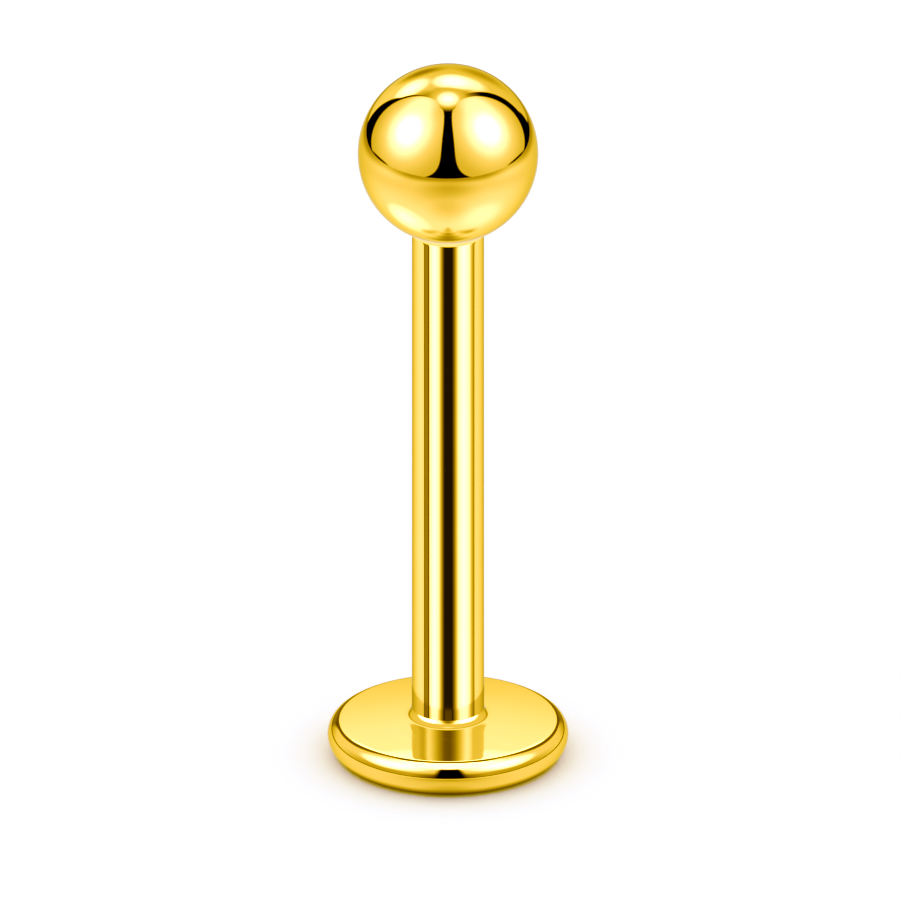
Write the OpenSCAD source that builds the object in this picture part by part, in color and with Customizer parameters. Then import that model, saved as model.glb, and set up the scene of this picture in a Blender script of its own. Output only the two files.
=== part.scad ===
// Labret stud: a round back disc with a straight post, closed by a ball that screws into the end of the post.
// Millimetres. Z runs up the post, and the origin is the middle of the disc's flat underside.

/* [Disc] */
// Diameter of the back disc
disc_d = 4.0; // [3:0.1:6]
// Radius of the rim's upper half, from the face down to the widest line
rim_upper_r = 0.28; // [0.15:0.01:0.4]
// Radius of the rim's lower half, from the widest line down to the underside
rim_lower_r = 0.34; // [0.15:0.01:0.5]
// Radius of the large ball that the crowned face is a cap of
face_crown_r = 13.8; // [10:0.1:60]

/* [Post] */
// Diameter of the post, 16 gauge
post_d = 1.2; // [1:0.05:1.6]
// Length of the post, from the middle of the face to its end
post_length = 8.74; // [5:0.01:16]
// Radius of the hollow fillet where the post meets the face
foot_fillet_r = 0.12; // [0.05:0.01:0.25]
// Radius of the rounding round the end of the post
shoulder_r = 0.06; // [0.02:0.01:0.08]

/* [Ball] */
// Diameter of the ball
ball_d = 3.0; // [2.5:0.1:5]
// Gap between the end of the post and the flat seat of the ball
seat_gap = 0.02; // [0.01:0.01:0.1]

/* [Thread] */
// Wall of the post round the threaded bore
bore_wall = 0.13; // [0.1:0.01:0.18]
// Clearance round the stub in the bore
thread_gap = 0.04; // [0.02:0.01:0.08]
// Length of the stub below the seat
stub_length = 2.2; // [1.2:0.1:3]
// Depth of the relief groove between the seat and the thread
relief_depth = 0.08; // [0.03:0.01:0.12]
// Height of the relief groove
relief_h = 0.2; // [0.1:0.05:0.4]
// Height and width of the bevel at the tip of the stub
tip_bevel = 0.1; // [0.04:0.01:0.15]
// Clearance past the tip of the stub in the bore
bore_end_gap = 0.3; // [0.1:0.1:0.6]
// Height and width of the bevel at the mouth of the bore
mouth_bevel = 0.04; // [0.01:0.01:0.05]

/* [Hidden] */
$fn = 128;

// Overlap that joins the forms of one solid
joint = 0.05;
// Segments round the whole of the large ball that the face is a cap of
crown_facets = 2000;
// Angle at the tip of the drill that makes the bore
drill_angle = 118;

disc_r = disc_d / 2;
post_r = post_d / 2;
ball_r = ball_d / 2;

// The rim is widest where its two arcs meet, and its upper arc runs into the crowned face without a step.
widest_z = rim_lower_r;
crown_tilt = asin((disc_r - rim_upper_r) / (face_crown_r - rim_upper_r));
crown_z = widest_z - (face_crown_r - rim_upper_r) * cos(crown_tilt);
face_edge_r = face_crown_r * sin(crown_tilt);
face_z = crown_z + face_crown_r;

// The fillet touches both the post and the face.
fillet_x = post_r + foot_fillet_r;
fillet_z = crown_z + sqrt(pow(face_crown_r + foot_fillet_r, 2) - pow(fillet_x, 2));
fillet_edge_r = fillet_x * face_crown_r / (face_crown_r + foot_fillet_r);

post_end_z = face_z + post_length;
bore_d = post_d - 2 * bore_wall;
bore_depth = stub_length - seat_gap + bore_end_gap;
drill_tip_h = bore_d / 2 / tan(drill_angle / 2);

// The seat is a flat as wide as the post, so the ball covers it.
seat_z = post_end_z + seat_gap;
ball_z = seat_z + sqrt(pow(ball_r, 2) - pow(post_r, 2));
stub_d = bore_d - 2 * thread_gap;
relief_d = stub_d - 2 * relief_depth;

// Half section of the disc, with its crowned face and its two rim arcs
module disc_section() {
    intersection() {
        union() {
            square([disc_r - rim_lower_r, widest_z]);
            translate([disc_r - rim_lower_r, rim_lower_r]) circle(r = rim_lower_r);
        }
        square([disc_r, widest_z]);
    }
    intersection() {
        union() {
            translate([0, widest_z]) square([face_edge_r, face_z - widest_z]);
            translate([disc_r - rim_upper_r, widest_z]) circle(r = rim_upper_r);
        }
        translate([0, crown_z]) circle(r = face_crown_r, $fn = crown_facets);
        translate([0, widest_z]) square([disc_r, face_z - widest_z]);
    }
}

// Half section of the fillet at the foot of the post
module fillet_section() {
    difference() {
        translate([0, widest_z]) square([fillet_edge_r, fillet_z - widest_z]);
        translate([fillet_x, fillet_z]) circle(r = foot_fillet_r);
    }
}

// Half section of the post, with its rounded shoulder
module post_section() {
    translate([0, widest_z]) square([post_r, post_end_z - shoulder_r - widest_z]);
    translate([0, widest_z]) square([post_r - shoulder_r, post_end_z - widest_z]);
    translate([post_r - shoulder_r, post_end_z - shoulder_r]) circle(r = shoulder_r);
}

// Blind threaded bore in the end of the post, with its drill tip and its bevelled mouth
module bore() {
    translate([0, 0, post_end_z - bore_depth]) cylinder(h = bore_depth + joint, d = bore_d);
    translate([0, 0, post_end_z - bore_depth - drill_tip_h]) cylinder(h = drill_tip_h, d1 = 0, d2 = bore_d);
    translate([0, 0, post_end_z - mouth_bevel])
        cylinder(h = 2 * mouth_bevel, d1 = bore_d, d2 = bore_d + 4 * mouth_bevel);
}

// Back disc and post, one piece of metal
module disc_post() {
    color("gold") difference() {
        rotate_extrude() {
            disc_section();
            fillet_section();
            post_section();
        }
        bore();
    }
}

// Threaded stub below the ball, with its relief groove and its bevelled tip
module stub() {
    stub_end_z = seat_z - stub_length;
    translate([0, 0, stub_end_z]) cylinder(h = tip_bevel, d1 = stub_d - 2 * tip_bevel, d2 = stub_d);
    translate([0, 0, stub_end_z + tip_bevel]) cylinder(h = stub_length - tip_bevel - relief_h, d = stub_d);
    translate([0, 0, seat_z - relief_h - joint]) cylinder(h = relief_h + 2 * joint, d = relief_d);
}

// Ball with its flat seat and its stub, one piece of metal
module ball() {
    color("gold") union() {
        intersection() {
            translate([0, 0, ball_z]) sphere(d = ball_d);
            translate([-ball_r, -ball_r, seat_z]) cube([ball_d, ball_d, ball_d]);
        }
        stub();
    }
}

disc_post();
ball();
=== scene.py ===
# Polished gold labret stud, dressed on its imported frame: back disc with its post, and the ball on its end.
# Metres. Z runs up the post, and the origin is the middle of the disc's underside.
import collections
import math

import bpy
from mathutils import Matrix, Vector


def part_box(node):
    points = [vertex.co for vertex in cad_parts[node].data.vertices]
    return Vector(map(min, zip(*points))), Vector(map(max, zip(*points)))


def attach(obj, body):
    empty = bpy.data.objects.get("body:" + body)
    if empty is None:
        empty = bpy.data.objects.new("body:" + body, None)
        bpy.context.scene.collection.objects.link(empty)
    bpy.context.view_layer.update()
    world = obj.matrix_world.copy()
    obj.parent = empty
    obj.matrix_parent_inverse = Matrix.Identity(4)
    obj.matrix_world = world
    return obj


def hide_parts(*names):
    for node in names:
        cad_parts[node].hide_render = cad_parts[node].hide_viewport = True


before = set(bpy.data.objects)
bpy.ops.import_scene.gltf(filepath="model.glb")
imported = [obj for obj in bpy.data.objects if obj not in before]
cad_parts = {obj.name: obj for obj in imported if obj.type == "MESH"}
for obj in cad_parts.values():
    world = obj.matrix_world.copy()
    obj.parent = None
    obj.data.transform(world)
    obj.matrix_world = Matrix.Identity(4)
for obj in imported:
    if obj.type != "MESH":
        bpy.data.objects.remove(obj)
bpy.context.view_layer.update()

MM = 0.001
DISC_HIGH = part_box("disc_post")[1]
BALL_LOW, BALL_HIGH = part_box("ball")

# Disc, a crowned face over two rim arcs
DISC_R = DISC_HIGH.x
RIM_UPPER_R = 0.28 * MM
RIM_LOWER_R = 0.34 * MM
FACE_CROWN_R = 13.8 * MM
WIDEST_Z = RIM_LOWER_R
CROWN_TILT = math.asin((DISC_R - RIM_UPPER_R) / (FACE_CROWN_R - RIM_UPPER_R))
CROWN_Z = WIDEST_Z - (FACE_CROWN_R - RIM_UPPER_R) * math.cos(CROWN_TILT)

# Post, with a hollow fillet at its foot and a threaded bore in its end
POST_R = 0.6 * MM
POST_END_Z = DISC_HIGH.z
FOOT_FILLET_R = 0.12 * MM
SHOULDER_R = 0.06 * MM
FILLET_X = POST_R + FOOT_FILLET_R
FILLET_Z = CROWN_Z + math.sqrt((FACE_CROWN_R + FOOT_FILLET_R) ** 2 - FILLET_X**2)
FILLET_TILT = math.asin(FILLET_X / (FACE_CROWN_R + FOOT_FILLET_R))
BORE_R = 0.47 * MM
BORE_DEPTH = 2.48 * MM
MOUTH_BEVEL = 0.04 * MM
DRILL_HALF_ANGLE = math.radians(59)
BORE_THREAD_DEPTH = 0.028 * MM

# Ball, with a flat seat and a threaded stub below it
BALL_R = BALL_HIGH.x
BALL_Z = BALL_HIGH.z - BALL_R
SEAT_Z = BALL_Z - math.sqrt(BALL_R**2 - POST_R**2)
SEAT_ANGLE = math.asin((SEAT_Z - BALL_Z) / BALL_R)
STUB_END_Z = BALL_LOW.z
STUB_R = 0.43 * MM
RELIEF_R = 0.35 * MM
RELIEF_H = 0.2 * MM
TIP_BEVEL = 0.1 * MM
STUB_THREAD_DEPTH = 0.09 * MM

# Thread, shared by the stub and the bore
PITCH = 0.225 * MM
THREAD_FADE = 0.12 * MM
CREST_SHARE = 0.22
ROOT_SHARE = 0.71

# Fineness of the turned meshes, with the number of steps along each stretch of a section
SIDES = 192
TURNING_R = 1.0 * MM
POLE_MERGE = 0.00001 * MM
EDGE_BREAK = 0.012 * MM
WALL_REACH = EDGE_BREAK / 4
SUPPORT = 0.01 * MM
RINGS_PER_PITCH = 16
SHARP_ANGLE = math.radians(60)
FACE_STEPS = 36
RIM_STEPS = 40
UNDERSIDE_STEPS = 8
FILLET_STEPS = 24
DRILL_TIP_STEPS = 6
SHOULDER_STEPS = 16
POST_STEPS = 16
BALL_STEPS = 128
FLAT_STEPS = 4
EDGE_STEPS = 5

# Gold, and what the light turns into where it only grazes the metal
GOLD = (1.0, 0.69, 0.35, 1.0)
GOLD_WORN = (0.97, 0.655, 0.32, 1.0)
GOLD_STAINED = (0.8, 0.5, 0.22, 1.0)
GRAZING_GOLD = (0.77, 0.73, 0.59, 1.0)

# Surface detail. Scales count noise cells in a metre, and heights are in metres.
DRIFT_SCALE = 700.0
SMUDGE_SCALE = 1500.0
SMUDGE_DETAIL = 4.0
WAVE_SCALE = 900.0
WAVE_DETAIL = 1.0
WAVE_H = 0.0004 * MM
HAIR_SCALE = 2500.0
HAIR_DETAIL = 2.0
HAIR_STRETCH = (0.35, 0.35, 9.0)
HAIR_LEAN = (0.12, 0.07, 0.0)
HAIR_START = 0.66
HAIR_FULL = 0.78
HAIR_DEPTH = 0.00002 * MM
HAIR_ROUGHNESS = 0.06
POLISHED_ROUGHNESS = (0.012, 0.04)
STAIN_SCALE = 2200.0
GRAIN_SCALE = 9000.0
TOOL_MARK_SCALE = 9000.0
TOOL_MARK_WANDER = 1.5
TOOL_MARK_DEPTH = 0.0006 * MM
CUT_ROUGHNESS = (0.12, 0.3)

# Floor, and the plain white that the camera sees past it
BOARD_WHITE = (0.85, 0.868, 0.91, 1)
BOARD_ROUGHNESS = 0.9
FAR_WHITE = (1.05, 1.05, 1.05, 1)
FLOOR_R = 77 * MM
FLOOR_SIDES = 128

# Camera, as the photograph frames the stud in its 900 x 900 pixels
PHOTO_WIDTH_PX = 900
PIXELS_PER_MM = 60.3
AXIS_COLUMN_PX = 448.0
MIDDLE_Z = 5.483 * MM
CAMERA_ELEVATION = math.radians(24)
CAMERA_DISTANCE = 60 * MM
CAMERA_REACH = 1.0

# Tone of the picture: where its green and blue are led below its red
GREEN_FALL = 1.18
BLUE_LED = ((0.2, 0.004), (0.26, 0.02), (0.3, 0.05), (0.35, 0.11), (0.4, 0.2), (0.45, 0.3), (0.5, 0.4),
            (0.7, 0.57))

# Domes, cards and tables of light round the stud, which the camera doesn't see
BALL_DOME_R = 80 * MM
DISC_DOME_R = 84 * MM
FLOOR_DOME_R = 90 * MM
FOOT_DOME_R = 74 * MM
DISC_DOME_Z = 0.5 * MM
FOOT_DOME_Z = 0.8 * MM
BALL_HORIZON_DEG = -8
DISC_HORIZON_DEG = 2
FOOT_HORIZON_DEG = -40
DOME_COLUMNS = 64
DOME_ROWS = 24
FLOOR_LIGHT = 1.21
FOOT_GROUND_LIGHT = 0.9
BALL_TABLE_Z = -0.01 * MM
BALL_TABLE_FADE = (35 * MM, 62 * MM, 1.0, 0.5)
DISC_TABLE_Z = -0.02 * MM
DISC_TABLE_FADE = (3 * MM, 40 * MM, 1.04, 0.8)
DISC_TABLE_SHADE = (1.75 * MM, 2.07 * MM, 0.15, 1.0)
POST_CARD_R = 20 * MM
POST_CARD_H = 400 * MM
POST_CARD_TOP = 12.6 * MM
POST_CARD_STEPS = 24
POST_LID_R = 72 * MM
POST_LID_DEG = 9
POST_LID_LIGHT = 1.25

# Where the light of the post's cards changes: below it they hold a painted reflection of the disc in place of
# the studio
POST_FACE_LINE = -7.6 * MM
POST_FACE_SOFT = 0.004 * MM

# A painted reflection of the post in the disc's face, as a stripe in the backdrop: how its half width grows
# with elevation, where it begins and ends, how soft its two sides are, and its bands as degrees round the
# post with their light
POST_IMAGE_SPREAD = (30.4, 40.4, 3.08, 3.95)
POST_IMAGE_FOOT = (27.4, 28.5, 0, 1)
POST_IMAGE_TOP = (42.4, 43.0, 1, 0)
POST_IMAGE_SIDES = (0.985, 1.015, 1, 0)
POST_BANDS = ((-90, 0.84), (-56, 0.82), (-45, 0.62), (-40, 0.72), (-33, 1.2), (-25, 0.92), (-14, 0.47),
              (-6, 0.18), (3, 0.15), (10, 0.3), (20, 0.82), (31, 1.38), (38, 1.25), (44, 0.88), (90, 0.94))
RAMP_TOP = 4.0

# Painted light on a dome. Angles are in degrees: azimuth 0 is towards the camera, 90 towards +X and 180
# behind the stud. A panel is given by its middle, its half width and half height, its light, the softness of
# its edge and how square its corners are. Its low end may differ in width and corners, and it may hold other
# shapes.
Panel = collections.namedtuple(
    "Panel", "azimuth elevation width height light soft corner inside low_width low_corner",
    defaults=((), None, None))
# A glow is round, full up to its inner angle and gone at its outer one.
Glow = collections.namedtuple("Glow", "azimuth elevation inner outer light")
# A pool is a round patch of light or, below 0, of shade on a table, in millimetres.
Pool = collections.namedtuple("Pool", "x y reach light")
# A card stands round the post from its start to its end, in degrees, with its light at both and at its
# brightest line. Below the face line its light is multiplied by its low share.
Card = collections.namedtuple("Card", "name start bright end start_light bright_light end_light low_share")


def arc(centre, radius, start_deg, end_deg, steps):
    """Points (radius out, height) along an arc, both ends included."""
    angles = [math.radians(start_deg + (end_deg - start_deg) * i / steps) for i in range(steps + 1)]
    return [(centre[0] + radius * math.cos(a), centre[1] + radius * math.sin(a)) for a in angles]


def straight(start, end, steps):
    """Points between two ends, with one close to each end that keeps the shading of the flat even."""
    length = math.dist(start, end)
    shares = [SUPPORT / length] + [i / steps for i in range(1, steps)] + [1 - SUPPORT / length]
    return [(start[0] + (end[0] - start[0]) * s, start[1] + (end[1] - start[1]) * s) for s in shares]


def broken_edge(before, corner, after):
    """A small round in place of a sharp turned corner, as polishing leaves it."""

    def along(target):
        reach = EDGE_BREAK / math.dist(corner, target)
        return tuple(c + (t - c) * reach for c, t in zip(corner, target))

    first, last = along(before), along(after)
    points = []
    for i in range(EDGE_STEPS + 1):
        s = i / EDGE_STEPS
        points.append(tuple((1 - s) ** 2 * a + 2 * s * (1 - s) * c + s**2 * b
                            for a, c, b in zip(first, corner, last)))
    return points


def threaded(r, start_z, end_z):
    """Points along a threaded stretch, with enough rings to carve each turn."""
    rings = round(abs(end_z - start_z) / PITCH * RINGS_PER_PITCH)
    return [(r, start_z + (end_z - start_z) * i / rings) for i in range(1, rings)]


def disc_section():
    """Half section of the disc, from the middle of its face round the rim to the middle of its underside."""
    flat_r = DISC_R - RIM_LOWER_R
    tilt = math.degrees(CROWN_TILT)
    points = arc((0, CROWN_Z), FACE_CROWN_R, 90, 90 - tilt, FACE_STEPS)
    points += arc((DISC_R - RIM_UPPER_R, WIDEST_Z), RIM_UPPER_R, 90 - tilt, 0, RIM_STEPS)[1:]
    points += arc((flat_r, RIM_LOWER_R), RIM_LOWER_R, 0, -90, RIM_STEPS)[1:]
    return points + straight((flat_r, 0), (0, 0), UNDERSIDE_STEPS) + [(0, 0)]


def foot_section():
    """Section of the ring at the foot of the post: its hollow fillet, and its sides inside the metal."""
    fillet = arc((FILLET_X, FILLET_Z), FOOT_FILLET_R, 180, 270 - math.degrees(FILLET_TILT), FILLET_STEPS)
    inner_top = (POST_R / 2, FILLET_Z)
    return [inner_top] + fillet + [(fillet[-1][0], WIDEST_Z), (POST_R / 2, WIDEST_Z), inner_top]


def post_section():
    """Half section of the post, from the tip of its bore over its end and down into the disc."""
    mouth_edge = (BORE_R + MOUTH_BEVEL, POST_END_Z)
    bevel_foot = (BORE_R, POST_END_Z - MOUTH_BEVEL)
    bore_foot = (BORE_R, POST_END_Z - BORE_DEPTH)
    drill_tip = (0, bore_foot[1] - BORE_R / math.tan(DRILL_HALF_ANGLE))
    shoulder_centre = (POST_R - SHOULDER_R, POST_END_Z - SHOULDER_R)
    root = (POST_R, WIDEST_Z)

    points = [drill_tip] + straight(drill_tip, bore_foot, DRILL_TIP_STEPS)[:-1]
    points += broken_edge(drill_tip, bore_foot, bevel_foot)
    points += threaded(BORE_R, points[-1][1], bevel_foot[1] - EDGE_BREAK)
    points += broken_edge(bore_foot, bevel_foot, mouth_edge)
    points += broken_edge(bevel_foot, mouth_edge, (POST_R, POST_END_Z))
    points += arc(shoulder_centre, SHOULDER_R, 90, 0, SHOULDER_STEPS)
    return points + straight(points[-1], root, POST_STEPS) + [root, (POST_R / 2, WIDEST_Z), (0, WIDEST_Z)]


def ball_section():
    """Half section of ball and stub, from the top of the ball round to the middle of the stub's tip."""
    seat_edge = (POST_R, SEAT_Z)
    relief_top = (RELIEF_R, SEAT_Z)
    relief_foot = (RELIEF_R, SEAT_Z - RELIEF_H)
    thread_top = (STUB_R, SEAT_Z - RELIEF_H)
    thread_foot = (STUB_R, STUB_END_Z + TIP_BEVEL)
    tip_edge = (STUB_R - TIP_BEVEL, STUB_END_Z)
    tip = (0, STUB_END_Z)

    sphere = arc((0, BALL_Z), BALL_R, 90, math.degrees(SEAT_ANGLE), BALL_STEPS)
    points = sphere[:-1] + broken_edge(sphere[-2], seat_edge, relief_top)
    points += straight(points[-1], relief_top, FLAT_STEPS)[:-1]
    points += broken_edge(seat_edge, relief_top, relief_foot)
    points += broken_edge(relief_top, relief_foot, thread_top)
    points += broken_edge(relief_foot, thread_top, thread_foot)
    points += threaded(STUB_R, points[-1][1], thread_foot[1] + EDGE_BREAK)
    points += broken_edge(thread_top, thread_foot, tip_edge)
    points += broken_edge(thread_foot, tip_edge, tip)
    return points + straight(tip_edge, tip, FLAT_STEPS)[1:] + [tip]


def section_mesh(name, points, cut_r=None, thread_low=0, thread_high=0):
    """The half section as a chain of edges.

    The points on the wall at cut_r are marked as cut by the tool, and with their share of the thread's depth.
    """
    mesh = bpy.data.meshes.new(name)
    vertices = [(r - TURNING_R, -z, 0) for r, z in points]
    mesh.from_pydata(vertices, [(i, i + 1) for i in range(len(points) - 1)], [])
    share = mesh.attributes.new("thread_share", "FLOAT", "POINT")
    bare = mesh.attributes.new("machined", "FLOAT", "POINT")
    for i, (r, z) in enumerate(points):
        on_wall = cut_r is not None and abs(r - cut_r) < WALL_REACH
        inside = min(z - thread_low, thread_high - z) / THREAD_FADE
        share.data[i].value = max(0.0, min(1.0, inside)) if on_wall else 0.0
        bare.data[i].value = 1.0 if on_wall else 0.0
    return mesh


def add_node(tree, kind, **values):
    """A node of that kind, with each named setting or input set, or linked where the value is a socket."""
    node = tree.nodes.new(kind)
    for name, value in values.items():
        if isinstance(value, bpy.types.NodeSocket):
            tree.links.new(value, node.inputs[name.replace("_", " ")])
        elif hasattr(node, name):
            setattr(node, name, value)
        else:
            node.inputs[name.replace("_", " ")].default_value = value
    return node


def arithmetic(tree):
    """A function that adds one step of arithmetic, on sockets or numbers, to that tree."""

    def step(operation, *values):
        node = add_node(tree, "ShaderNodeMath", operation=operation)
        for socket, value in zip(node.inputs, values):
            if isinstance(value, bpy.types.NodeSocket):
                tree.links.new(value, socket)
            else:
                socket.default_value = value
        return node.outputs[0]

    return step


def thread_inward(tree, given):
    """How far each point moves towards the Z axis to cut the screw thread, as a vector."""
    calc = arithmetic(tree)
    place = tree.nodes.new("GeometryNodeInputPosition").outputs[0]
    parts = add_node(tree, "ShaderNodeSeparateXYZ", Vector=place).outputs
    turns = calc("DIVIDE", calc("ARCTAN2", parts["Y"], parts["X"]), 2 * math.pi)
    climbed = calc("DIVIDE", parts["Z"], given["Pitch"])
    phase = calc("FRACT", calc("SUBTRACT", climbed, turns))
    from_root = calc("ABSOLUTE", calc("MULTIPLY_ADD", phase, 2.0, -1.0))
    from_crest = calc("SUBTRACT", 1.0, from_root)
    groove = add_node(tree, "ShaderNodeMapRange", interpolation_type="SMOOTHSTEP", Value=from_crest,
                      From_Min=given["Crest Share"], From_Max=given["Root Share"]).outputs[0]
    share = add_node(tree, "GeometryNodeInputNamedAttribute", Name="thread_share").outputs["Attribute"]
    depth = calc("MULTIPLY", calc("MULTIPLY", groove, share), given["Thread Depth"])

    level = add_node(tree, "ShaderNodeCombineXYZ", X=parts["X"], Y=parts["Y"]).outputs[0]
    outward = add_node(tree, "ShaderNodeVectorMath", operation="NORMALIZE")
    tree.links.new(level, outward.inputs[0])
    inward = add_node(tree, "ShaderNodeVectorMath", operation="SCALE", Scale=calc("MULTIPLY", depth, -1.0))
    tree.links.new(outward.outputs[0], inward.inputs[0])
    return inward.outputs[0]


def turning_tree():
    """Turns a half section round the Z axis and cuts a screw thread into its threaded stretch."""
    tree = bpy.data.node_groups.new("turned_and_threaded", "GeometryNodeTree")
    face = tree.interface
    face.new_socket("Half Section", in_out="INPUT", socket_type="NodeSocketGeometry")
    for name, kind in (("Sides", "NodeSocketInt"), ("Turning Radius", "NodeSocketFloat"),
                       ("Pole Merge", "NodeSocketFloat"), ("Pitch", "NodeSocketFloat"),
                       ("Thread Depth", "NodeSocketFloat"), ("Crest Share", "NodeSocketFloat"),
                       ("Root Share", "NodeSocketFloat"), ("Polished", "NodeSocketMaterial"),
                       ("Machined", "NodeSocketMaterial")):
        face.new_socket(name, in_out="INPUT", socket_type=kind)
    face.new_socket("Turned", in_out="OUTPUT", socket_type="NodeSocketGeometry")
    given = tree.nodes.new("NodeGroupInput").outputs
    calc = arithmetic(tree)

    section = add_node(tree, "GeometryNodeMeshToCurve", Mesh=given["Half Section"]).outputs["Curve"]
    path = add_node(tree, "GeometryNodeCurvePrimitiveCircle", Resolution=given["Sides"],
                    Radius=given["Turning Radius"]).outputs["Curve"]
    turned = add_node(tree, "GeometryNodeCurveToMesh", Curve=path, Profile_Curve=section).outputs["Mesh"]
    closed = add_node(tree, "GeometryNodeMergeByDistance", Geometry=turned,
                      Distance=given["Pole Merge"]).outputs[0]
    carved = add_node(tree, "GeometryNodeSetPosition", Geometry=closed,
                      Offset=thread_inward(tree, given)).outputs[0]

    fold = add_node(tree, "GeometryNodeInputMeshEdgeAngle").outputs["Unsigned Angle"]
    smooth = add_node(tree, "GeometryNodeSetShadeSmooth", domain="EDGE", Geometry=carved,
                      Shade_Smooth=calc("LESS_THAN", fold, SHARP_ANGLE)).outputs[0]
    real = add_node(tree, "GeometryNodeRealizeInstances", Geometry=smooth).outputs[0]
    polished = add_node(tree, "GeometryNodeSetMaterial", Geometry=real, Material=given["Polished"]).outputs[0]
    bare = add_node(tree, "GeometryNodeInputNamedAttribute", Name="machined").outputs["Attribute"]
    machined = add_node(tree, "GeometryNodeSetMaterial", Geometry=polished, Material=given["Machined"],
                        Selection=calc("GREATER_THAN", bare, 0.5)).outputs[0]
    add_node(tree, "NodeGroupOutput", Turned=machined)
    return tree


def turned_piece(name, section, tree, thread_depth, polished, machined):
    """Runs the turning tree on a half section and keeps the result as a plain mesh."""
    blank = bpy.data.objects.new(name + "_blank", section)
    bpy.context.scene.collection.objects.link(blank)
    turning = blank.modifiers.new("turning", "NODES")
    turning.node_group = tree
    sizes = {"Sides": SIDES, "Turning Radius": TURNING_R, "Pole Merge": POLE_MERGE, "Pitch": PITCH,
             "Thread Depth": thread_depth, "Crest Share": CREST_SHARE, "Root Share": ROOT_SHARE,
             "Polished": polished, "Machined": machined}
    for item in tree.interface.items_tree:
        if item.in_out == "INPUT" and item.name in sizes:
            turning[item.identifier] = sizes[item.name]
    evaluated = blank.evaluated_get(bpy.context.evaluated_depsgraph_get())
    mesh = bpy.data.meshes.new_from_object(evaluated)
    bpy.data.objects.remove(blank)
    piece = bpy.data.objects.new(name, mesh)
    mesh.name = name
    bpy.context.scene.collection.objects.link(piece)
    return piece


def back_disc(tree, gold, cut):
    """The round back disc, with its crowned face and its rounded rim."""
    section = section_mesh("disc_section", disc_section())
    return turned_piece("polished_disc", section, tree, 0, gold, cut)


def post_foot(tree, gold, cut):
    """The ring with the hollow fillet, where the post meets the face."""
    section = section_mesh("foot_section", foot_section())
    return turned_piece("polished_foot", section, tree, 0, gold, cut)


def threaded_post(tree, gold, cut):
    """The post, with the thread cut into the bore in its end."""
    section = section_mesh("post_section", post_section(), BORE_R, POST_END_Z - BORE_DEPTH, POST_END_Z)
    return turned_piece("polished_post", section, tree, BORE_THREAD_DEPTH, gold, cut)


def ball_and_stub(tree, gold, cut):
    """The ball, with the thread cut round its stub."""
    section = section_mesh("ball_section", ball_section(), STUB_R, STUB_END_Z, SEAT_Z - RELIEF_H)
    return turned_piece("polished_ball_and_stub", section, tree, STUB_THREAD_DEPTH, gold, cut)


def principled(name):
    """A new material and its shader."""
    material = bpy.data.materials.new(name)
    material.use_nodes = True
    return material, material.node_tree.nodes["Principled BSDF"]


def object_place(tree):
    """Object coordinates."""
    return tree.nodes.new("ShaderNodeTexCoord").outputs["Object"]


def noise(tree, where, scale, detail=3.0):
    """Noise from 0 to 1, as fine as its scale."""
    return add_node(tree, "ShaderNodeTexNoise", Vector=where, Scale=scale, Detail=detail).outputs[0]


def mottled(tree, shader, share, first, second):
    """Colours the metal between two golds."""
    colour = add_node(tree, "ShaderNodeMix", data_type="RGBA", Factor=share)
    first_colour, second_colour, result = colour.inputs[6], colour.inputs[7], colour.outputs[2]
    first_colour.default_value = first
    second_colour.default_value = second
    tree.links.new(result, shader.inputs["Base Color"])


def between(tree, share, low, high):
    """A value from low to high as the share goes from 0 to 1."""
    return add_node(tree, "ShaderNodeMapRange", Value=share, To_Min=low, To_Max=high).outputs[0]


def hairlines(tree, where):
    """1 on the fine lines that the polishing cloth leaves round the turned metal, and 0 between them."""
    stretched = add_node(tree, "ShaderNodeMapping", Vector=where, Rotation=HAIR_LEAN, Scale=HAIR_STRETCH)
    lines = noise(tree, stretched.outputs[0], HAIR_SCALE, HAIR_DETAIL)
    return add_node(tree, "ShaderNodeMapRange", Value=lines, From_Min=HAIR_START,
                    From_Max=HAIR_FULL).outputs[0]


def raise_surface(tree, shader, height):
    """Bumps the surface by a height in metres."""
    bump = add_node(tree, "ShaderNodeBump", Strength=1.0, Distance=1.0, Height=height)
    tree.links.new(bump.outputs[0], shader.inputs["Normal"])


def polished_gold(name):
    """Mirror-polished gold: a slow drift of colour, faint smudges, hairlines and a trace of waviness."""
    material, shader = principled(name)
    tree = material.node_tree
    calc = arithmetic(tree)
    where = object_place(tree)
    shader.inputs["Metallic"].default_value = 1.0
    shader.inputs["Specular Tint"].default_value = GRAZING_GOLD
    mottled(tree, shader, noise(tree, where, DRIFT_SCALE), GOLD, GOLD_WORN)

    smudges = between(tree, noise(tree, where, SMUDGE_SCALE, SMUDGE_DETAIL), *POLISHED_ROUGHNESS)
    hairs = hairlines(tree, where)
    tree.links.new(calc("MULTIPLY_ADD", hairs, HAIR_ROUGHNESS, smudges), shader.inputs["Roughness"])

    waves = noise(tree, where, WAVE_SCALE, WAVE_DETAIL)
    scratches = calc("MULTIPLY", hairs, -HAIR_DEPTH)
    raise_surface(tree, shader, calc("MULTIPLY_ADD", waves, WAVE_H, scratches))
    return material


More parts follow.
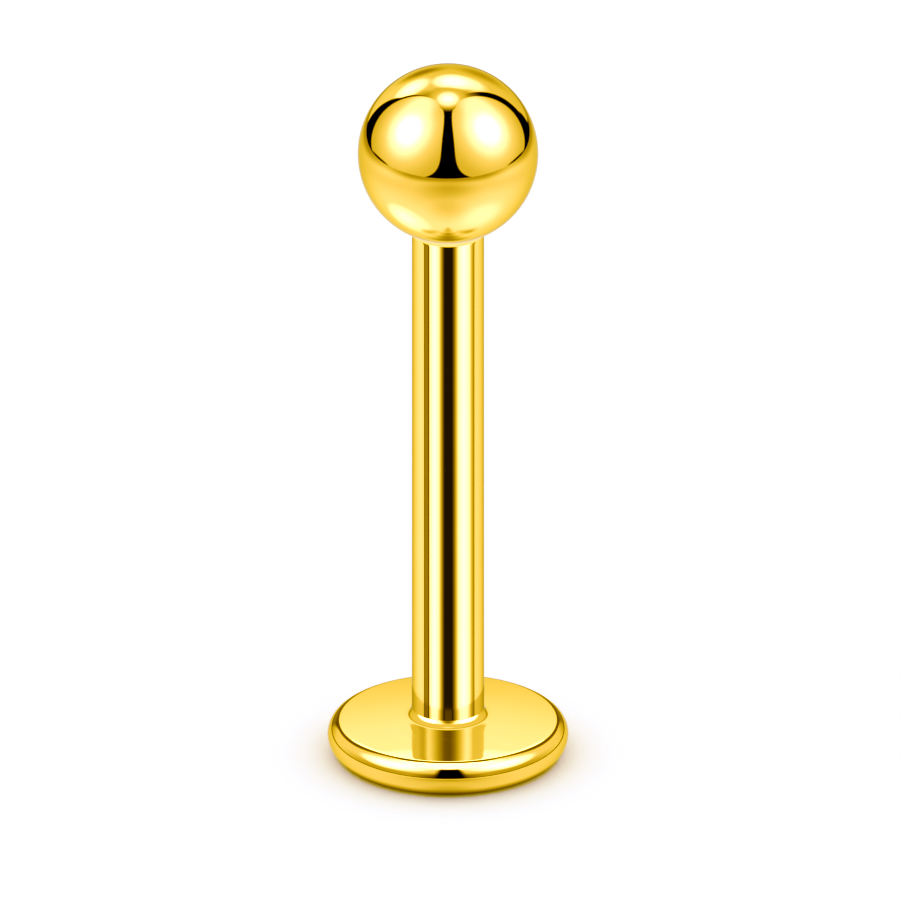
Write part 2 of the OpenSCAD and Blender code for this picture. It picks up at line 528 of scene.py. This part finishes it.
def machined_gold(name):
    """Gold as the cutting tool leaves it: duller than the outside, with turning marks and dark patches."""
    material, shader = principled(name)
    tree = material.node_tree
    calc = arithmetic(tree)
    where = object_place(tree)
    shader.inputs["Metallic"].default_value = 1.0
    mottled(tree, shader, noise(tree, where, STAIN_SCALE), GOLD_WORN, GOLD_STAINED)
    grain = noise(tree, where, GRAIN_SCALE)
    tree.links.new(between(tree, grain, *CUT_ROUGHNESS), shader.inputs["Roughness"])
    marks = add_node(tree, "ShaderNodeTexWave", bands_direction="Z", Vector=where, Scale=TOOL_MARK_SCALE,
                     Distortion=TOOL_MARK_WANDER).outputs["Fac"]
    raise_surface(tree, shader, calc("MULTIPLY", marks, TOOL_MARK_DEPTH))
    return material


def glow_material(name, for_matt=False):
    """Light that lets other rays pass, and the socket of its strength.

    A mirror finds the light by itself, so only a light for a matt surface is sampled.
    """
    material = bpy.data.materials.new(name)
    material.use_nodes = True
    material.cycles.emission_sampling = "AUTO" if for_matt else "NONE"
    tree = material.node_tree
    tree.nodes.clear()
    glow = tree.nodes.new("ShaderNodeEmission")
    clear = tree.nodes.new("ShaderNodeBsdfTransparent")
    both = tree.nodes.new("ShaderNodeAddShader")
    out = tree.nodes.new("ShaderNodeOutputMaterial")
    tree.links.new(glow.outputs[0], both.inputs[0])
    tree.links.new(clear.outputs[0], both.inputs[1])
    tree.links.new(both.outputs[0], out.inputs["Surface"])
    return material, glow.inputs["Strength"]


def falloff(tree, value, near, far, near_light, far_light, shape="SMOOTHSTEP"):
    """A change of light between two values of distance or angle, smooth unless another shape is named."""
    return add_node(tree, "ShaderNodeMapRange", interpolation_type=shape, Value=value, From_Min=near,
                    From_Max=far, To_Min=near_light, To_Max=far_light).outputs[0]


def distance_to(tree, where, point):
    """Distance of each place from a point."""
    apart = add_node(tree, "ShaderNodeVectorMath", operation="DISTANCE")
    tree.links.new(where, apart.inputs[0])
    apart.inputs[1].default_value = point
    return apart.outputs["Value"]


def staged(name, vertices, faces, material, shines_on, for_matt=False):
    """A light that isn't part of the stud. It shines only on the given pieces, unseen by the camera."""
    mesh = bpy.data.meshes.new(name)
    mesh.from_pydata(vertices, [], faces)
    mesh.materials.append(material)
    card = bpy.data.objects.new(name, mesh)
    bpy.context.scene.collection.objects.link(card)
    card.visible_camera = False
    card.visible_shadow = False
    card.visible_diffuse = for_matt
    card.visible_glossy = not for_matt
    receivers = bpy.data.collections.new(name + "_shines_on")
    for piece in shines_on:
        receivers.objects.link(piece)
    card.light_linking.receiver_collection = receivers


def dome_angles(tree, centre_z):
    """Azimuth and elevation in degrees of each place on a dome."""
    calc = arithmetic(tree)
    parts = add_node(tree, "ShaderNodeSeparateXYZ", Vector=object_place(tree)).outputs
    azimuth = calc("ARCTAN2", parts["X"], calc("MULTIPLY", parts["Y"], -1.0))
    x_squared = calc("POWER", calc("ABSOLUTE", parts["X"]), 2.0)
    y_squared = calc("POWER", calc("ABSOLUTE", parts["Y"]), 2.0)
    out = calc("SQRT", calc("ADD", x_squared, y_squared))
    elevation = calc("ARCTAN2", calc("SUBTRACT", parts["Z"], centre_z), out)
    return calc("DEGREES", azimuth), calc("DEGREES", elevation)


def panel_mask(tree, azimuth, elevation, panel):
    """1 inside a panel with rounded corners and 0 outside it."""
    calc = arithmetic(tree)
    across = calc("WRAP", calc("SUBTRACT", azimuth, panel.azimuth), 180.0, -180.0)
    up = calc("SUBTRACT", elevation, panel.elevation)
    half = panel.height
    width = falloff(tree, up, -half, half, panel.low_width or panel.width, panel.width)
    corner = falloff(tree, up, -half / 3, half / 3, panel.low_corner or panel.corner, panel.corner)
    share_across = calc("DIVIDE", calc("ABSOLUTE", across), width)
    share_up = calc("DIVIDE", calc("ABSOLUTE", up), half)
    reach = calc("ADD", calc("POWER", share_across, corner), calc("POWER", share_up, corner))
    reach = calc("POWER", reach, calc("DIVIDE", 1.0, corner))
    return falloff(tree, reach, 1 - panel.soft, 1 + panel.soft, 1, 0)


def glow_mask(tree, azimuth, elevation, glow):
    """1 in the middle of a round glow, fading to 0 at its outer angle."""
    calc = arithmetic(tree)
    round_angle = calc("RADIANS", azimuth)
    up_angle = calc("RADIANS", elevation)
    middle = math.radians(glow.elevation)
    turn = calc("COSINE", calc("SUBTRACT", round_angle, math.radians(glow.azimuth)))
    level = calc("MULTIPLY", calc("MULTIPLY", calc("COSINE", up_angle), turn), math.cos(middle))
    cosine = calc("ADD", calc("MULTIPLY", calc("SINE", up_angle), math.sin(middle)), level)
    apart = calc("DEGREES", calc("ARCCOSINE", calc("MINIMUM", cosine, 1.0)))
    return falloff(tree, apart, glow.inner, glow.outer, 1, 0)


def painted(tree, azimuth, elevation, shapes, ground):
    """Light painted shape over shape, each with what is painted inside it."""
    calc = arithmetic(tree)
    light = ground
    for shape in shapes:
        if isinstance(shape, Panel):
            mask = panel_mask(tree, azimuth, elevation, shape)
            inside = painted(tree, azimuth, elevation, shape.inside, shape.light)
        else:
            mask = glow_mask(tree, azimuth, elevation, shape)
            inside = shape.light
        light = calc("ADD", light, calc("MULTIPLY", calc("SUBTRACT", inside, light), mask))
    return light


def dome_shell(radius, centre_z, horizon):
    """Corners and faces of a dome, from its top down to its horizon."""
    vertices, faces = [(0, 0, centre_z + radius)], []
    for j in range(1, DOME_ROWS + 1):
        e = math.radians(90 + (horizon - 90) * j / DOME_ROWS)
        for i in range(DOME_COLUMNS):
            a = 2 * math.pi * i / DOME_COLUMNS
            vertices.append((radius * math.cos(e) * math.sin(a), radius * math.cos(e) * math.cos(a),
                             centre_z + radius * math.sin(e)))
    for i in range(DOME_COLUMNS):
        beside = (i + 1) % DOME_COLUMNS
        faces.append((0, 1 + i, 1 + beside))
        for j in range(DOME_ROWS - 1):
            upper, lower = 1 + j * DOME_COLUMNS, 1 + (j + 1) * DOME_COLUMNS
            faces.append((upper + i, lower + i, lower + beside, upper + beside))
    return vertices, faces


def plain_dome(name, radius, centre_z, horizon, light, shines_on, for_matt=False):
    """A dome with the same light all over."""
    material, strength = glow_material(name + "_light", for_matt)
    strength.default_value = light
    vertices, faces = dome_shell(radius, centre_z, horizon)
    staged(name, vertices, faces, material, shines_on, for_matt)


def painted_dome(name, radius, centre_z, horizon, shapes, ground, shines_on, image=None):
    """A dome whose light is painted, with one more image laid over it if one is given."""
    material, strength = glow_material(name + "_light")
    tree = material.node_tree
    azimuth, elevation = dome_angles(tree, centre_z)
    light = painted(tree, azimuth, elevation, shapes, ground)
    if image:
        light = image(tree, azimuth, elevation, light)
    tree.links.new(light, strength)
    vertices, faces = dome_shell(radius, centre_z, horizon)
    staged(name, vertices, faces, material, shines_on)


def set_bands(ramp, bands):
    """Sets a colour ramp from angles in degrees and their light."""
    while len(ramp.elements) < len(bands):
        ramp.elements.new(0.5)
    for i, (degrees, light) in enumerate(bands):
        ramp.elements[i].position = degrees / 360 + 0.5
        ramp.elements[i].color = (light / RAMP_TOP, light / RAMP_TOP, light / RAMP_TOP, 1)


def post_image(tree, azimuth, elevation, light):
    """A painted reflection of the post in the face: an upright stripe of its bands in the backdrop behind the
    disc.
    """
    calc = arithmetic(tree)
    across = calc("WRAP", calc("SUBTRACT", 180.0, azimuth), 180.0, -180.0)
    share = calc("DIVIDE", across, falloff(tree, elevation, *POST_IMAGE_SPREAD, shape="LINEAR"))
    bounded = calc("MAXIMUM", calc("MINIMUM", share, 1.0), -1.0)
    turned = calc("DEGREES", calc("ARCSINE", bounded))
    ramp = add_node(tree, "ShaderNodeValToRGB", Fac=calc("MULTIPLY_ADD", turned, 1 / 360, 0.5))
    set_bands(ramp.color_ramp, POST_BANDS)
    image = calc("MULTIPLY", ramp.outputs[0], RAMP_TOP)
    inside = falloff(tree, calc("ABSOLUTE", share), *POST_IMAGE_SIDES)
    above = falloff(tree, elevation, *POST_IMAGE_FOOT)
    below = falloff(tree, elevation, *POST_IMAGE_TOP)
    mask = calc("MULTIPLY", inside, calc("MULTIPLY", above, below))
    return calc("MULTIPLY_ADD", calc("SUBTRACT", image, light), mask, light)


def floor_surround(shines_on):
    """The even light that the floor and the shadow of the stud are seen in."""
    plain_dome("floor_surround", FLOOR_DOME_R, 0, BALL_HORIZON_DEG, FLOOR_LIGHT, shines_on, for_matt=True)


def ball_surround(shines_on):
    """What the ball mirrors: two rounded softboxes with a dark slot between them, and a soft backdrop."""
    shapes = [
        Panel(183, 41, 45, 49, 0.95, soft=0.015, corner=8, inside=(
            Glow(-150, 8, 6, 36, 1.12),
            Glow(-168, 15, 2, 15, 0.42),
            Glow(165, 14, 2, 16, 0.6),
            Glow(-145, 37, 3, 18, 2.7),
            Glow(156, 45, 2, 17, 1.9),
            Panel(180, 68, 70, 7, 0.7, soft=0.7, corner=2),
            Glow(174, 50, 5, 19, 2.9),
        )),
        Panel(-132, -8, 14, 42, 0.0, soft=0.05, corner=1.1),
        Panel(136, -8, 7, 14, 0.0, soft=0.1, corner=2),
        Panel(-129, 67, 14, 13, 0.45, soft=0.8, corner=2),
        Panel(129, 69, 14, 12, 0.42, soft=0.8, corner=2),
        Panel(180, 78, 90, 15, 0.78, soft=0.25, corner=3, low_width=62),
        Glow(180, 82, 12, 20, 0.88),
        Glow(180, 82, 2, 14, 2.8),
    ]
    for side, azimuth, elevation in ((-1, -70, 37), (1, 71.5, 37.5)):
        shapes.append(Panel(side * 69.2, 34.5, 59.5, 46, 0.76, soft=0.012, corner=5, low_corner=3.6, inside=(
            Glow(azimuth, elevation, 26, 60, 1.13),
            Glow(side * 100, 60, 4, 26, 1.55),
            Glow(azimuth, elevation, 18, 38, 1.7),
            Glow(azimuth, elevation, 9, 28, 3.3),
        )))
        shapes.append(Panel(side * 97, -8, 16, 2, 0.0, soft=0.3, corner=2))
    painted_dome("ball_surround", BALL_DOME_R, BALL_Z, BALL_HORIZON_DEG, shapes, 0.0, shines_on)


def disc_surround(shines_on):
    """What the disc mirrors: a dark-edged pale panel behind it, a white top, panels with a dark slot, and a
    painted reflection of the post.
    """
    shapes = []
    for side, middle in ((-1, -82), (1, 86)):
        shapes.append(Panel(middle, 40, 70, 60, 1.02, soft=0.05, corner=6, inside=(
            Panel(side * 50, 4, 52, 20, 0.58, soft=0.5, corner=3),
            Glow(0, 6, 12, 40, 0.15),
            Panel(side * 90, 76, 120, 22, 1.2, soft=0.3, corner=4),
            Glow(side * 70, 50, 10, 34, 2.9),
        )))
    shapes += [
        Glow(180, 90, 20, 30, 2.65),
        Panel(180, 0, 34, 16, 0.42, soft=0.5, corner=3),
        Panel(180, 29, 56, 29.5, 0.17, soft=0.06, corner=2.5, low_width=15),
        Panel(180, 25, 33, 25, 1.4, soft=0.04, corner=2.5, low_width=8, inside=(
            Panel(180, 0, 90, 22, 1.14, soft=0.6, corner=2),
            Panel(180, 60, 90, 23.5, 2.2, soft=0.05, corner=4),
        )),
    ]
    painted_dome("disc_surround", DISC_DOME_R, DISC_DOME_Z, DISC_HORIZON_DEG, shapes, 0.0, shines_on,
                 post_image)


def foot_surround(shines_on):
    """What the ring at the foot of the post mirrors: a painted reflection of the bright face before it, with
    the post's dark line.
    """
    shapes = [
        Panel(180, 25, 34, 46, 0.5, soft=0.15, corner=3, inside=(
            Panel(180, 23, 24, 38, 1.28, soft=0.12, corner=3),
        )),
        Panel(0, -8, 84, 38, 3.4, soft=0.12, corner=4, low_width=112, inside=(
            Panel(0, -8, 28, 60, 0.3, soft=0.9, corner=2),
        )),
        Glow(0, 88, 2, 12, 1.4),
    ]
    painted_dome("foot_surround", FOOT_DOME_R, FOOT_DOME_Z, FOOT_HORIZON_DEG, shapes, FOOT_GROUND_LIGHT,
                 shines_on)


def ball_over_post(shines_on):
    """Even light above the post's cards, in place of the ball that the end of the post mirrors."""
    plain_dome("ball_over_post", POST_LID_R, POST_END_Z, POST_LID_DEG, POST_LID_LIGHT, shines_on)


def table_sheet(height):
    """Corners and the one face of a round flat sheet as large as the floor."""
    angles = [2 * math.pi * i / FLOOR_SIDES for i in range(FLOOR_SIDES)]
    corners = [(FLOOR_R * math.cos(a), FLOOR_R * math.sin(a), height) for a in angles]
    return corners, [tuple(range(FLOOR_SIDES))]


def mirrored_table(name, shines_on, height, fade, pools, shade=None):
    """The table as a piece mirrors it, fading with distance, with soft pools and the shade under the disc."""
    material, strength = glow_material(name + "_light")
    tree = material.node_tree
    calc = arithmetic(tree)
    where = object_place(tree)
    away = distance_to(tree, where, (0, 0, 0))
    lit = falloff(tree, away, *fade)
    for pool in pools:
        apart = distance_to(tree, where, (pool.x * MM, pool.y * MM, 0))
        lit = calc("ADD", falloff(tree, apart, 0, pool.reach * MM, pool.light, 0), lit)
    if shade:
        lit = calc("MULTIPLY", lit, falloff(tree, away, *shade))
    tree.links.new(lit, strength)
    vertices, faces = table_sheet(height)
    staged(name, vertices, faces, material, shines_on)


def ball_table(shines_on):
    """The table under the ball, with the softboxes' pools, and darker pools painted where the ball would
    mirror the post and the disc.
    """
    pools = [
        Pool(-6.6, 0.3, 5.4, 1.35),
        Pool(-8, 1, 20, 0.25),
        Pool(6.5, -3, 7, 0.35),
        Pool(9, -4, 20, 0.25),
        Pool(0, -29, 24, -0.33),
        Pool(0, -9, 7, -0.22),
        # Darker pools: a painted reflection of the disc and the post in the ball
        Pool(-2.5, 1.2, 1.6, -0.55),
        Pool(2.5, 1.2, 1.6, -0.6),
        Pool(-1.6, 0.2, 1.2, -0.3),
        Pool(1.6, 0.2, 1.2, -0.3),
        Pool(0, -1.6, 0.6, -0.5),
        Pool(0, 5, 2.6, -0.85),
        Pool(0, 2.6, 2.0, -0.8),
        Pool(0, 0.8, 1.4, -0.7),
        Pool(0, -0.7, 1.0, -0.55),
        Pool(-61, -8, 42, 0.37),
        Pool(61, -8, 42, 0.37),
    ]
    mirrored_table("ball_table", shines_on, BALL_TABLE_Z, BALL_TABLE_FADE, pools)


def disc_table(shines_on):
    """The table under the rim of the disc, dark where the rim meets it."""
    pools = [Pool(0, -4.6, 3.6, -0.5), Pool(0, -1.75, 0.7, -0.4)]
    mirrored_table("disc_table", shines_on, DISC_TABLE_Z, DISC_TABLE_FADE, pools, DISC_TABLE_SHADE)


def post_card(card, shines_on):
    """One upright card of light, which changes below the face line to a painted reflection of the disc."""
    material, strength = glow_material(card.name + "_light")
    tree = material.node_tree
    calc = arithmetic(tree)
    parts = add_node(tree, "ShaderNodeSeparateXYZ", Vector=object_place(tree)).outputs
    angle = calc("ARCTAN2", parts["X"], calc("MULTIPLY", parts["Y"], -1.0))
    start, bright, end = (math.radians(degrees) for degrees in (card.start, card.bright, card.end))
    rise = falloff(tree, angle, start, bright, card.start_light, card.bright_light)
    fall = falloff(tree, angle, bright, end, card.bright_light, card.end_light)
    share = falloff(tree, parts["Z"], POST_FACE_LINE - POST_FACE_SOFT, POST_FACE_LINE + POST_FACE_SOFT,
                    card.low_share, 1)
    tree.links.new(calc("MULTIPLY", calc("MINIMUM", rise, fall), share), strength)
    columns = [math.radians(card.start + (card.end - card.start) * i / POST_CARD_STEPS)
               for i in range(POST_CARD_STEPS + 1)]
    vertices = [(POST_CARD_R * math.sin(a), -POST_CARD_R * math.cos(a), z)
                for a in columns for z in (-POST_CARD_H, POST_CARD_TOP)]
    faces = [(2 * i, 2 * i + 2, 2 * i + 3, 2 * i + 1) for i in range(POST_CARD_STEPS)]
    staged("post_" + card.name, vertices, faces, material, shines_on)


def post_cards(shines_on):
    """What the post mirrors: strip lights beside a dark slot, pale walls, and darker lines between them."""
    for card in (
        Card("left_strip", -62, -45, -10, 1.3, 2.65, 0.02, 0.7),
        Card("left_line", -80.5, -72, -65, 0.36, 0.36, 0.36, 0.7),
        Card("left_wall", -180, -95, -82, 0.75, 1.26, 1.22, 0.7),
        Card("right_strip", 12, 51, 90.5, 0.02, 2.65, 0.5, 0.7),
        Card("right_wall", 92, 105, 180, 1.15, 1.18, 0.75, 0.7),
        Card("slot", -10, 1, 12, 0.015, 0.015, 0.015, 7.0),
    ):
        post_card(card, shines_on)


def pale_floor():
    """A plain white round table."""
    material, shader = principled("white_board")
    shader.inputs["Base Color"].default_value = BOARD_WHITE
    shader.inputs["Roughness"].default_value = BOARD_ROUGHNESS
    shader.inputs["Specular IOR Level"].default_value = 0.0
    mesh = bpy.data.meshes.new("floor")
    vertices, faces = table_sheet(0)
    mesh.from_pydata(vertices, [], faces)
    mesh.materials.append(material)
    floor = bpy.data.objects.new("floor", mesh)
    bpy.context.scene.collection.objects.link(floor)
    floor.visible_glossy = False
    return floor


def white_surround():
    """The camera sees plain white past the floor, which lights nothing and isn't mirrored."""
    world = bpy.data.worlds.new("surround")
    bpy.context.scene.world = world
    world.use_nodes = True
    tree = world.node_tree
    tree.nodes.clear()
    seen = tree.nodes.new("ShaderNodeLightPath").outputs["Is Camera Ray"]
    shine = add_node(tree, "ShaderNodeBackground", Strength=seen, Color=FAR_WHITE)
    add_node(tree, "ShaderNodeOutputWorld", Surface=shine.outputs[0])


def photo_tone():
    """The contrast of a product picture: green and blue fall off faster than red in the dark of the gold."""
    view = bpy.context.scene.view_settings
    view.view_transform = "Standard"
    view.look = "None"
    view.use_curve_mapping = True
    curves = view.curve_mapping
    green, blue = curves.curves[1], curves.curves[2]
    for tenth in range(1, 10):
        green.points.new(tenth / 10, (tenth / 10) ** GREEN_FALL)
    for x, y in BLUE_LED:
        blue.points.new(x, y)
    curves.update()


def photo_camera():
    """Parallel view from 24 degrees above, framed as the photograph is."""
    data = bpy.data.cameras.new("camera")
    data.type = "ORTHO"
    data.ortho_scale = PHOTO_WIDTH_PX / PIXELS_PER_MM * MM
    data.clip_start = MM
    data.clip_end = CAMERA_REACH
    camera = bpy.data.objects.new("camera", data)
    bpy.context.scene.collection.objects.link(camera)
    side = (PHOTO_WIDTH_PX / 2 - AXIS_COLUMN_PX) / PIXELS_PER_MM * MM
    camera.location = (side, -CAMERA_DISTANCE * math.cos(CAMERA_ELEVATION),
                       MIDDLE_Z + CAMERA_DISTANCE * math.sin(CAMERA_ELEVATION))
    camera.rotation_euler = (math.pi / 2 - CAMERA_ELEVATION, 0, 0)
    bpy.context.scene.camera = camera


photo_camera()
photo_tone()
white_surround()

turning = turning_tree()
post_gold = polished_gold("post_gold")
ball_gold = polished_gold("ball_gold")
cut_gold = machined_gold("cut_gold")

disc = back_disc(turning, post_gold, cut_gold)
foot = post_foot(turning, post_gold, cut_gold)
post = threaded_post(turning, post_gold, cut_gold)
for piece in (disc, foot, post):
    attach(piece, "post")
    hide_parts("disc_post")

ball = ball_and_stub(turning, ball_gold, cut_gold)
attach(ball, "ball")
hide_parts("ball")

floor = pale_floor()
floor_surround((floor,))
ball_surround((ball,))
disc_surround((disc,))
ball_table((ball,))
disc_table((disc,))
foot_surround((foot,))
post_cards((post,))
ball_over_post((post,))

# The photo shows no gold mirrored in gold, so the pieces mirror their surroundings alone.
for piece in (disc, foot, post, ball):
    piece.visible_glossy = False
